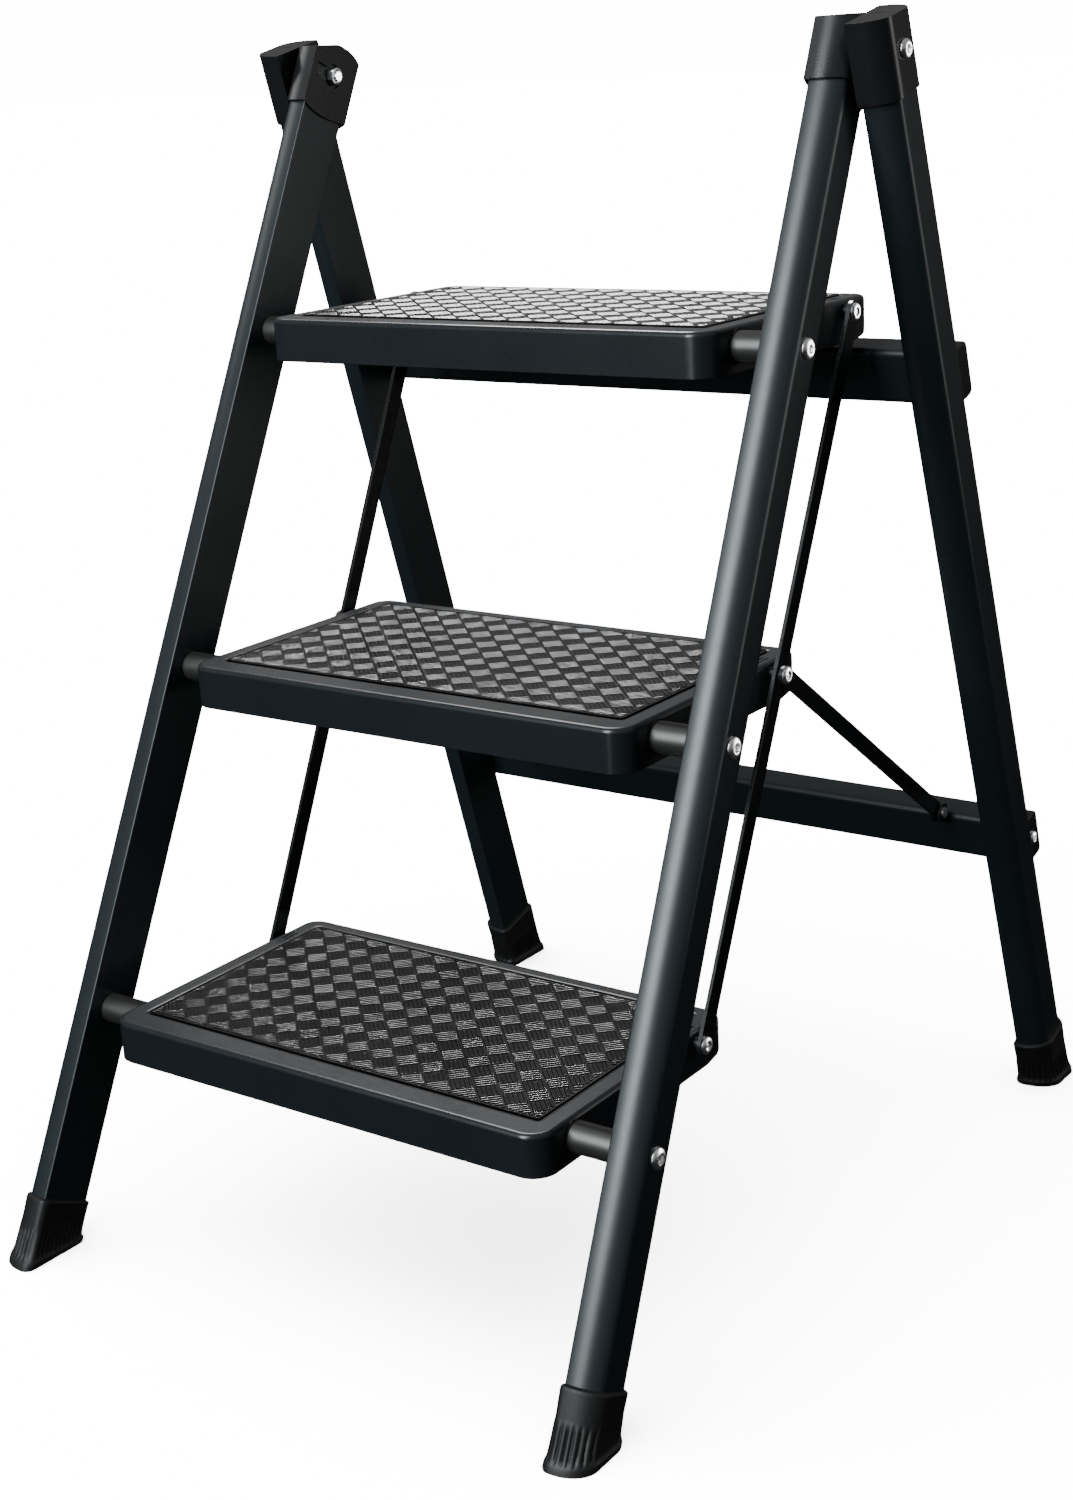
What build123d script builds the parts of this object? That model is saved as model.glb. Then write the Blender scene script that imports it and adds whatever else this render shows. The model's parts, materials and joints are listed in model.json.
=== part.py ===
from build123d import *
import os
from math import atan2, cos, hypot, radians, sin, tan

os.makedirs("parts", exist_ok=True)

# Overall frame: floor at z = 0, front towards -Y, the ladder mirrored about the YZ plane.
PIVOT_Z = 836.0            # top pivot height over the floor
FRONT_LEAN = radians(25.6)
REAR_LEAN = radians(16.6)
SPLAY = 0.0204             # outward travel of every leg per unit of leg length

# Leg tube: D section, flat side inwards
LEG_W = 44.0
LEG_T = 24.0
LEG_WALL = 1.5
LEG_STRIP = 10.0           # half width of the flat strip on the outer face
LEG_FLAT = 4.0             # straight part of the narrow sides
FRONT_IN_X = 218.3         # inner face of the front leg at the top pivot
REAR_IN_X = 247.4
LEG_TOP = 12.0             # leg tube above the top pivot
FRONT_LEG_LEN = 908.0
REAR_LEG_LEN = 858.0

# Caps at the leg tops
CAP_W = 3.5
CAP_T = 1.8
CAP_DOWN = 30.0
CROWN_TOP = 23.0           # front cap crown over the top pivot
CROWN_BACK = 2.0           # where the crown's flat top ends, behind the leg axis
REAR_CROWN = ((0.0, 20.5), (-4.0, 22.5))     # rear cap top: step in from the rear edge, height
REAR_CROWN_FRONT = ((8.0, 25.5), (0.0, 20.0))  # the same from the front edge

# Rubber feet
FOOT_GROW = 3.0
LIP_GROW = 5.0
LIP_H = 7.0
FRONT_FOOT = 42.0
REAR_FOOT = 48.0

# Steps
FIRST_DROP = 184.0         # first step pivot under the top pivot
RISE = 240.0
TUBE_R = 11.0
TUBE_BORE = 9.5
TRAY_X = 194.0
TRAY_FRONT = -39.0
TRAY_REAR = 190.0
TRAY_TOP = 14.0
TRAY_BOTTOM = -17.3
SHEET = 1.5
TREAD_SHEET = 2.3          # border thickness of the tread
FRONT_R = 18.0
REAR_R = 14.0
TRAY_EDGE_R = 3.0
TAIL_START = 165.0         # the skirt is cut upwards from here to the rear
TAIL_KNEE = (176.0, -15.0)
TAIL_END_Z = -9.0
MAT_X = 177.0
MAT_FRONT = -16.0
MAT_REAR = 175.5
RECESS = 1.1
MAT_T = 1.6
BUSH_R = 12.0
BUSH_FLANGE_R = 15.0
RUN_GAP = 0.05             # running fit, radial

# Link bars and diagonal straps
LINK_Y = 150.0             # link pivot behind and above the step pivot
LINK_Z = 5.5
LINK_X = 198.7
BAR_T = 3.0
BAR_W = 15.0
BAR_END = 8.0
STRAP_W = 13.0
STRAP_X = 203.0
RIVET_R = 3.0
RIVET_HEAD_R = 6.5
RIVET_HEAD_H = 2.4
RIVET_INNER_R = 4.0
SLEEVE_R = 5.0
SIDE_GAP = 0.3
STRAP_PIVOT_Y = 193.0      # lower strap pivot behind the top pivot
STRAP_PIVOT_Z = 240.0

# Crossbars on the rear face of the rear legs
BAR_DEPTH = 26.0
BAR_WALL = 1.5
BAR_CORNER = 5.0
UPPER_H = 42.0
UPPER_TOP_Z = 634.0
UPPER_HALF = 263.0
LOWER_H = 40.0
LOWER_TOP_Z = 243.5
LOWER_HALF = 271.0
PLUG_T = 3.0

# Fasteners
BOLT_R = 3.0
BOLT_IN = 18.0             # bolt length inside the cross tube
INSERT_LEN = 20.0
SEAT = 0.2                 # head sunk into the crowned leg face
HEAD_R = 7.5
PLUG_HEAD_R = 5.2
HEAD_H = 3.0
SOCKET_R = 3.2
SOCKET_DEPTH = 1.8
TOP_BOLT_R = 4.0
TOP_HEAD_R = 7.4
NUT_R = 7.2
NUT_T = 5.0
WASHER_R = 9.0
WASHER_T = 1.0
WASHER_CLEAR = 0.25
HEAD_CLEAR = 0.35
TOP_BOLT_PAST_NUT = 5.5
POCKET_ROOM = 2.0          # nut pocket wider than the nut
NUT_POCKET = 1.0

# Strap brackets on the lower crossbar
CHEEK_T = 2.0
CHEEK_GAP = 0.5
CHEEK_R = 8.0
PAD_T = 0.8
PIN_HEAD_R = 4.5
PIN_HEAD_H = 1.5

REACH = 60.0               # length well past any piece, for cutting tools

foot_half = LEG_W / 2 + LIP_GROW
FRONT_Y = -PIVOT_Z * tan(FRONT_LEAN) - foot_half / cos(FRONT_LEAN)
REAR_Y = PIVOT_Z * tan(REAR_LEAN) + foot_half / cos(REAR_LEAN)
PIVOT_Y = -(FRONT_Y + REAR_Y) / 2
STEP_PIVOTS = [
    (PIVOT_Y - (FIRST_DROP + RISE * i) * tan(FRONT_LEAN), PIVOT_Z - FIRST_DROP - RISE * i)
    for i in range(3)
]
STEP_NAMES = ["top", "middle", "bottom"]


def save(shape, node):
    export_step(shape, "parts/" + node + ".step")


def mirrored(shape):
    return mirror(shape, about=Plane.YZ)


def save_pair(shape, stem):
    save(shape, stem + "_right")
    save(mirrored(shape), stem + "_left")


def group(shapes):
    return Compound(children=list(shapes))


def both_sides(shapes):
    shapes = list(shapes)
    return group(shapes + [mirrored(s) for s in shapes])


def leg_plane(inner_x, lean, toward):
    """Local x outward, local y to the front, local z down the leg. toward is -1 front, +1 rear."""
    down = Vector(SPLAY, toward * sin(lean), -cos(lean)).normalized()
    out = Vector(1, 0, 0)
    out = (out - down * out.dot(down)).normalized()
    return Plane(origin=(inner_x, PIVOT_Y, PIVOT_Z), x_dir=out, z_dir=down)


def side_plane(lean, toward, y=PIVOT_Y, z=PIVOT_Z):
    """Section plane across the ladder: local x rearward across the leg, local y up the leg."""
    back = Vector(0, cos(lean), toward * sin(lean))
    return Plane(origin=(0, y, z), x_dir=back, z_dir=(1, 0, 0))


def leg_section(grow_w=0.0, grow_t=0.0):
    half = LEG_W / 2 + grow_w
    left = -grow_t
    right = LEG_T + grow_t
    radii = (right - LEG_FLAT, half - LEG_STRIP)
    front = EllipticalCenterArc((LEG_FLAT, LEG_STRIP), radii[0], radii[1], 0, arc_size=90)
    rear = EllipticalCenterArc((LEG_FLAT, -LEG_STRIP), radii[0], radii[1], 270, arc_size=90)
    edges = [
        Line((left, -half), (LEG_FLAT, -half)),
        rear,
        Line((right, -LEG_STRIP), (right, LEG_STRIP)),
        front,
        Line((LEG_FLAT, half), (left, half)),
        Line((left, half), (left, -half)),
    ]
    return make_face(edges)


def along(plane, section, start, length):
    return extrude(plane.offset(start) * section, length)


def rod(x0, x1, y, z, r):
    return extrude(Plane(origin=(x0, y, z), x_dir=(0, 1, 0), z_dir=(1, 0, 0)) * Circle(r), x1 - x0)


def hexagon(x0, x1, y, z, r):
    face = Plane(origin=(x0, y, z), x_dir=(0, 1, 0), z_dir=(1, 0, 0)) * RegularPolygon(r, 6)
    return extrude(face, x1 - x0)


def button_head(x, y, z, r, h):
    head = rod(x, x + h, y, z, r)
    head = fillet(head.faces().sort_by(Axis.X)[-1].edges(), h * 0.6)
    return head - hexagon(x + h - SOCKET_DEPTH, x + h, y, z, SOCKET_R)


def slab(z0, z1):
    return Pos(0, 0, (z0 + z1) / 2) * Box(1400, 1400, z1 - z0)


def bar_between(p, q, x0, thick, width, end):
    """Flat bar in a YZ plane with round ends past its two hole centres (y, z)."""
    length = hypot(q[0] - p[0], q[1] - p[1])
    angle = atan2(q[1] - p[1], q[0] - p[0])
    centre = ((p[0] + q[0]) / 2, (p[1] + q[1]) / 2)
    plane = Plane(origin=(x0, centre[0], centre[1]), x_dir=(0, cos(angle), sin(angle)), z_dir=(1, 0, 0))
    return extrude(plane * RectangleRounded(length + 2 * end, width, width / 2 - 0.01), thick)


# ---- legs, caps and feet ------------------------------------------------------------------------
front_plane = leg_plane(FRONT_IN_X, FRONT_LEAN, -1)
rear_plane = leg_plane(REAR_IN_X, REAR_LEAN, 1)
front_side = side_plane(FRONT_LEAN, -1)
rear_side = side_plane(REAR_LEAN, 1)

outer = leg_section()
inner = leg_section(-LEG_WALL, -LEG_WALL)
cap_outer = leg_section(CAP_W, CAP_T)
foot_outer = leg_section(FOOT_GROW, FOOT_GROW)
lip_outer = leg_section(LIP_GROW, LIP_GROW)

front_solid = along(front_plane, outer, -LEG_TOP, LEG_TOP + FRONT_LEG_LEN)
rear_solid = along(rear_plane, outer, -LEG_TOP, LEG_TOP + REAR_LEG_LEN)
front_leg = front_solid - along(front_plane, inner, -LEG_TOP, LEG_TOP + FRONT_LEG_LEN)
rear_leg = rear_solid - along(rear_plane, inner, -LEG_TOP, LEG_TOP + REAR_LEG_LEN)

cap_half = LEG_W / 2 + CAP_W
crown_front = (CROWN_TOP - sin(FRONT_LEAN) * cap_half) / cos(FRONT_LEAN)
crown_mid = (CROWN_TOP + sin(FRONT_LEAN) * CROWN_BACK) / cos(FRONT_LEAN)
front_outline = make_face(
    Polyline(
        (-cap_half, -CAP_DOWN), (cap_half, -CAP_DOWN), (cap_half, 0), (0, 0),
        (CROWN_BACK, crown_mid), (-cap_half, crown_front), (-cap_half, -CAP_DOWN),
    )
)
front_outline += Circle(cap_half)
front_cap = along(front_plane, cap_outer, -REACH, 2 * REACH)
front_cap &= extrude(front_side.offset(FRONT_IN_X - REACH) * front_outline, 2 * REACH + LEG_T)
front_cap -= front_solid

rear_outline = make_face(
    Polyline(
        (-cap_half, -CAP_DOWN),
        (cap_half, -CAP_DOWN),
        *[(cap_half + back, up) for back, up in REAR_CROWN],
        *[(-cap_half + back, up) for back, up in REAR_CROWN_FRONT],
        (-cap_half, -CAP_DOWN),
    )
)
rear_cap = along(rear_plane, cap_outer, -REACH, 2 * REACH)
rear_cap &= extrude(rear_side.offset(REAR_IN_X - REACH) * rear_outline, 2 * REACH + LEG_T)
rear_cap -= rear_solid


def foot(plane, lean, solid, tall):
    floor = PIVOT_Z / cos(lean)
    body = along(plane, foot_outer, floor - tall, tall + REACH)
    lip = along(plane, lip_outer, floor - tall, tall + REACH) & slab(0, LIP_H)
    return (body & slab(0, PIVOT_Z)) + lip - solid


front_foot = foot(front_plane, FRONT_LEAN, front_solid, FRONT_FOOT)
rear_foot = foot(rear_plane, REAR_LEAN, rear_solid, REAR_FOOT)

# ---- step pivots on the front legs ----------------------------------------------------------------
tubes = []
bolts = []
inserts = []
for (y, z), name in zip(STEP_PIVOTS, STEP_NAMES):
    reach = (PIVOT_Z - z) / cos(FRONT_LEAN)
    face_in = FRONT_IN_X + SPLAY * reach
    face_out = face_in + LEG_T
    tube = rod(-face_in - 1, face_in + 1, y, z, TUBE_R) - rod(-face_in - 1, face_in + 1, y, z, TUBE_BORE)
    tube = tube - front_solid - mirrored(front_solid)
    save(tube, "pivot_tube_" + name)
    shank = rod(face_in - BOLT_IN, face_out + 2 * SEAT, y, z, BOLT_R)
    insert = rod(face_in - INSERT_LEN, face_in + 1, y, z, TUBE_BORE) - front_solid - shank
    head = button_head(face_out - SEAT, y, z, HEAD_R, HEAD_H + SEAT) - front_solid
    front_leg -= shank
    bolts.append(shank + head)
    inserts.append(insert)
save(both_sides(bolts), "leg_bolts")
save(both_sides(inserts), "tube_end_inserts")

# ---- top pivot --------------------------------------------------------------------------------------
cap_in_x = FRONT_IN_X - CAP_T
cap_out_x = REAR_IN_X + LEG_T + CAP_T
pocket = rod(cap_in_x - REACH / 10, cap_in_x + NUT_POCKET, PIVOT_Y, PIVOT_Z, NUT_R + POCKET_ROOM)
front_cap -= pocket
top_shank = rod(cap_in_x - TOP_BOLT_PAST_NUT, cap_out_x + 0.5, PIVOT_Y, PIVOT_Z, TOP_BOLT_R)
top_head = button_head(cap_out_x + HEAD_CLEAR, PIVOT_Y, PIVOT_Z, TOP_HEAD_R, HEAD_H)
top_bolt = top_shank + top_head
nut = hexagon(cap_in_x + NUT_POCKET - NUT_T, cap_in_x + NUT_POCKET, PIVOT_Y, PIVOT_Z, NUT_R) - top_shank
washer_x = FRONT_IN_X + LEG_T + CAP_T + WASHER_CLEAR
washer = rod(washer_x, washer_x + WASHER_T, PIVOT_Y, PIVOT_Z, WASHER_R) - top_shank
clear = rod(REAR_IN_X - REACH / 10, cap_out_x + REACH / 10, PIVOT_Y, PIVOT_Z, TOP_BOLT_R + RUN_GAP)
front_leg -= top_shank
front_cap -= top_shank
rear_leg -= clear
rear_cap -= clear
save(both_sides([top_bolt]), "top_pivot_bolts")
save(both_sides([nut]), "top_pivot_nuts")
save(both_sides([washer]), "top_pivot_washers")
save_pair(front_cap, "front_cap")
save_pair(rear_cap, "rear_cap")
save_pair(front_leg, "front_leg")
save_pair(front_foot, "front_foot")
save_pair(rear_foot, "rear_foot")

# ---- steps ------------------------------------------------------------------------------------------


def plan(inset):
    sk = Rectangle(2 * (TRAY_X - inset), TRAY_REAR - TRAY_FRONT - 2 * inset)
    sk = Pos(0, (TRAY_REAR + TRAY_FRONT) / 2) * sk
    sk = fillet(sk.vertices().group_by(Axis.Y)[0], FRONT_R - inset)
    return fillet(sk.vertices().group_by(Axis.Y)[-1], REAR_R - inset)


def shell():
    body = Pos(0, 0, TRAY_BOTTOM) * extrude(plan(0), TRAY_TOP - TRAY_BOTTOM)
    body = fillet(body.faces().sort_by(Axis.Z)[-1].edges(), TRAY_EDGE_R)
    hollow = Pos(0, 0, TRAY_BOTTOM) * extrude(plan(SHEET), TRAY_TOP - TREAD_SHEET - TRAY_BOTTOM)
    hollow = fillet(hollow.faces().sort_by(Axis.Z)[-1].edges(), TRAY_EDGE_R - SHEET)
    return body - hollow


below = TRAY_BOTTOM - SHEET
behind = TRAY_REAR + SHEET
tail = make_face(
    Polyline(
        (TAIL_START, TRAY_BOTTOM), (TAIL_START, below), (behind, below),
        (behind, TAIL_END_Z), (TRAY_REAR, TAIL_END_Z), TAIL_KNEE, (TAIL_START, TRAY_BOTTOM),
    )
)
tail_cut = extrude(Plane.YZ.offset(-2 * TRAY_X) * tail, 4 * TRAY_X)
mat = Pos(0, (MAT_FRONT + MAT_REAR) / 2, TRAY_TOP - RECESS) * extrude(
    RectangleRounded(2 * MAT_X, MAT_REAR - MAT_FRONT, 3.0), MAT_T
)
tray = shell() - mat - tail_cut
bushing = rod(TRAY_X - SHEET - 2.0, TRAY_X + 1.0, 0, 0, BUSH_R)
flange = rod(TRAY_X - SHEET - 2.0, TRAY_X - SHEET, 0, 0, BUSH_FLANGE_R)
bushing += flange & slab(-BUSH_FLANGE_R, TRAY_TOP - TREAD_SHEET)
bushing = bushing - rod(TRAY_X - 10, TRAY_X + 10, 0, 0, TUBE_R + RUN_GAP)
tray_hole = rod(-TRAY_X - 5, TRAY_X + 5, 0, 0, BUSH_R)
side_walls = slab(TRAY_BOTTOM, TRAY_TOP) & (
    Pos(TRAY_X, 0, 0) * Box(4 * SHEET, 60, 60) + Pos(-TRAY_X, 0, 0) * Box(4 * SHEET, 60, 60)
)
tray = tray - (tray_hole & side_walls)
bushing = bushing - tray

link_shank_end = LINK_X + BAR_T + SIDE_GAP
sleeve = rod(TRAY_X, LINK_X - SIDE_GAP, LINK_Y, LINK_Z, SLEEVE_R)
inner_head = rod(TRAY_X - SHEET - 2.0, TRAY_X - SHEET, LINK_Y, LINK_Z, RIVET_INNER_R)
stem = rod(TRAY_X - SHEET, link_shank_end, LINK_Y, LINK_Z, RIVET_R)
rivet_inside = stem + sleeve + inner_head
rivet = rivet_inside + button_head(link_shank_end, LINK_Y, LINK_Z, RIVET_HEAD_R, RIVET_HEAD_H)
flush_rivet = rivet_inside + rod(link_shank_end, link_shank_end + 0.5, LINK_Y, LINK_Z, SLEEVE_R)
tray = tray - stem - mirrored(stem)
for (y, z), name in zip(STEP_PIVOTS, STEP_NAMES):
    at = Pos(0, y, z)
    save(at * tray, "step_tray_" + name)
    save(at * mat, "step_mat_" + name)
    save(both_sides([at * bushing]), "step_bushings_" + name)
    pin = flush_rivet if name == "middle" else rivet
    save(both_sides([at * pin]), "link_rivets_" + name)

# ---- link bars ----------------------------------------------------------------------------------------
LINK_POINTS = [(y + LINK_Y, z + LINK_Z) for y, z in STEP_PIVOTS]
link = bar_between(LINK_POINTS[0], LINK_POINTS[2], LINK_X, BAR_T, BAR_W, BAR_END)
for y, z in LINK_POINTS:
    link -= rod(LINK_X - 5, LINK_X + 10, y, z, RIVET_R + RUN_GAP)
save_pair(link, "link_bar")

# ---- crossbars -------------------------------------------------------------------------------------------
BACK = (cos(REAR_LEAN), sin(REAR_LEAN))
UP = (-sin(REAR_LEAN), cos(REAR_LEAN))


def rear_point(back, up):
    """(y, z) of a point given across and along the rear leg, from the top pivot."""
    return (PIVOT_Y + back * BACK[0] + up * UP[0], PIVOT_Z + back * BACK[1] + up * UP[1])


def crossbar(top_z, height, half):
    back = LEG_W / 2 + BAR_DEPTH / 2
    top_up = (top_z - PIVOT_Z - (LEG_W / 2 + BAR_DEPTH) * BACK[1]) / UP[1]
    y, z = rear_point(back, top_up - height / 2)
    plane = side_plane(REAR_LEAN, 1, y, z).offset(-half)
    skin = extrude(plane * RectangleRounded(BAR_DEPTH, height, BAR_CORNER), 2 * half)
    bore_section = RectangleRounded(BAR_DEPTH - 2 * BAR_WALL, height - 2 * BAR_WALL, BAR_CORNER - BAR_WALL)
    bore = extrude(plane * bore_section, 2 * half)
    end = side_plane(REAR_LEAN, 1, y, z).offset(half)
    stem_in = extrude(end.offset(-12) * bore_section, 12)
    cover = extrude(end * RectangleRounded(BAR_DEPTH, height, BAR_CORNER), PLUG_T)
    cover = fillet(cover.faces().sort_by(Axis.X)[-1].edges(), PLUG_T * 0.6)
    return skin - bore, stem_in + cover, (y, z)


upper_bar, upper_plug, upper_mid = crossbar(UPPER_TOP_Z, UPPER_H, UPPER_HALF)
lower_bar, lower_plug, lower_mid = crossbar(LOWER_TOP_Z, LOWER_H, LOWER_HALF)
plug_shank = rod(LOWER_HALF - 10, LOWER_HALF + PLUG_T, lower_mid[0], lower_mid[1], BOLT_R)
plug_bolt = plug_shank + button_head(LOWER_HALF + PLUG_T, *lower_mid, PLUG_HEAD_R, RIVET_HEAD_H)
save(upper_bar, "upper_crossbar")
save(both_sides([upper_plug, lower_plug - plug_shank]), "crossbar_end_plugs")
save(both_sides([plug_bolt]), "crossbar_bolts")

# ---- strap brackets and diagonal straps --------------------------------------------------------------------
D = (PIVOT_Y + STRAP_PIVOT_Y, STRAP_PIVOT_Z)
back_d = STRAP_PIVOT_Y * BACK[0] + (STRAP_PIVOT_Z - PIVOT_Z) * BACK[1]
strap_side = side_plane(REAR_LEAN, 1, *D)
to_leg = LEG_W / 2 - back_d
cheek = Circle(CHEEK_R) + Pos(to_leg / 2, -3) * Rectangle(to_leg, 2 * CHEEK_R - 2)
bracket_in = STRAP_X - CHEEK_GAP - CHEEK_T
bracket_out = STRAP_X + BAR_T + CHEEK_GAP + CHEEK_T
cheek_in = extrude(strap_side.offset(bracket_in) * cheek, CHEEK_T)
cheek_out = extrude(strap_side.offset(bracket_out - CHEEK_T) * cheek, CHEEK_T)
pad = Pos(to_leg - PAD_T / 2, -6) * Rectangle(PAD_T, 2 * CHEEK_R + 2)
base = extrude(strap_side.offset(bracket_in) * pad, bracket_out - bracket_in)
pin = rod(bracket_in, bracket_out, *D, RIVET_R)
pin_ends = rod(bracket_in - PIN_HEAD_H, bracket_in, *D, PIN_HEAD_R)
pin_ends += rod(bracket_out, bracket_out + PIN_HEAD_H, *D, PIN_HEAD_R)
inside_bar = extrude(strap_side * (Pos(to_leg + REACH, 0) * Rectangle(2 * REACH, 4 * REACH)), 6 * REACH)
bracket = (cheek_in + cheek_out + base) - pin - inside_bar
strap_hole = rod(STRAP_X - BAR_T, STRAP_X + 2 * BAR_T, *D, RIVET_R + RUN_GAP)
U = LINK_POINTS[1]
strap_stem = rod(STRAP_X, STRAP_X + BAR_T, *U, RIVET_R)
strap = bar_between(U, D, STRAP_X, BAR_T, STRAP_W, STRAP_W / 2) - strap_hole - strap_stem
strap_rivet = strap_stem + button_head(STRAP_X + BAR_T, *U, RIVET_HEAD_R, RIVET_HEAD_H)
save(lower_bar, "lower_crossbar")
save_pair(bracket, "strap_bracket")
save(both_sides([pin + pin_ends]), "strap_bracket_pins")
save_pair(strap, "diagonal_strap")
save_pair(strap_rivet, "strap_rivet")
save_pair(rear_leg, "rear_leg")
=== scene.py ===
import json
import math

import bmesh
import bpy
import numpy as np
from mathutils import Matrix, Vector

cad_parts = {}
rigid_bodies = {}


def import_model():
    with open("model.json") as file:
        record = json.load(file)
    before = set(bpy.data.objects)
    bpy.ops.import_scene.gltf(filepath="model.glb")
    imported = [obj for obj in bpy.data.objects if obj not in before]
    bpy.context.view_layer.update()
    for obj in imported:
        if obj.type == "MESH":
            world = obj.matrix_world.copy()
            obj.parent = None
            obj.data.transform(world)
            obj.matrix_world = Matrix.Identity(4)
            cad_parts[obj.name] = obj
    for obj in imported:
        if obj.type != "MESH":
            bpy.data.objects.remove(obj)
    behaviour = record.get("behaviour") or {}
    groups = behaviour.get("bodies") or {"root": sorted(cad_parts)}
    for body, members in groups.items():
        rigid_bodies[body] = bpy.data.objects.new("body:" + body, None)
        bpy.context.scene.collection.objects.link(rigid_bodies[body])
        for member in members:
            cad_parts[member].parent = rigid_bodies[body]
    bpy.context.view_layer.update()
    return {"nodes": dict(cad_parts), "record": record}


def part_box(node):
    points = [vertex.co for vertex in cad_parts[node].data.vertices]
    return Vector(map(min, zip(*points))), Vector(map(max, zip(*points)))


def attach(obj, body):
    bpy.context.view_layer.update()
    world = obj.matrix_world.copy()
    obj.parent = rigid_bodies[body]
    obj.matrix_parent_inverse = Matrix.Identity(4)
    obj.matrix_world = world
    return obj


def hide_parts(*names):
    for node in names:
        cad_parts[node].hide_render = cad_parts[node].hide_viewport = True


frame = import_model()

MM = 0.001
WHITE = 16.0
FLOOR_SUN = 60.0
FRONT_LEAN = math.radians(25.6)
REAR_LEAN = math.radians(16.6)
SPLAY = 0.0204
# leg section: half width, thickness, half the flat strip, depth of the straight sides
LEG_W, LEG_T, STRIP, FLAT = 22.0, 24.0, 10.0, 4.0
# how far a cap stands out from its leg
CAP_GROW_W, CAP_GROW_T = 3.3, 1.8
TUBE_R = 11.0
BOLT_R, TOP_BOLT_R, PLUG_BOLT_R, RIVET_R, RIVET_H = 7.5, 6.8, 5.2, 6.5, 2.3
SHANK_R, SLEEVE_R = 2.9, 5.0
LINK_W, STRAP_W = 15.0, 13.0
BAR_DEPTH, BAR_CORNER, UPPER_BAR, LOWER_BAR = 26.0, 5.0, 42.0, 40.0
FRONT_FOOT, REAR_FOOT = 42.0, 48.0
LENS = 54.3072


def centre(node):
    lo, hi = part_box(node)
    return np.array((lo + hi) / 2) / MM


TOP = centre("top_pivot_bolts")
STEPS = {n: centre("pivot_tube_" + n) for n in ("top", "middle", "bottom")}


def side_extent(node):
    """Inner and outer |x| of a right-hand node, in millimetres."""
    lo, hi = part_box(node)
    return lo.x / MM, hi.x / MM


# ---------------------------------------------------------------------------------------- materials


def nodes_of(mat):
    mat.use_nodes = True
    return mat.node_tree.nodes, mat.node_tree.links


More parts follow.
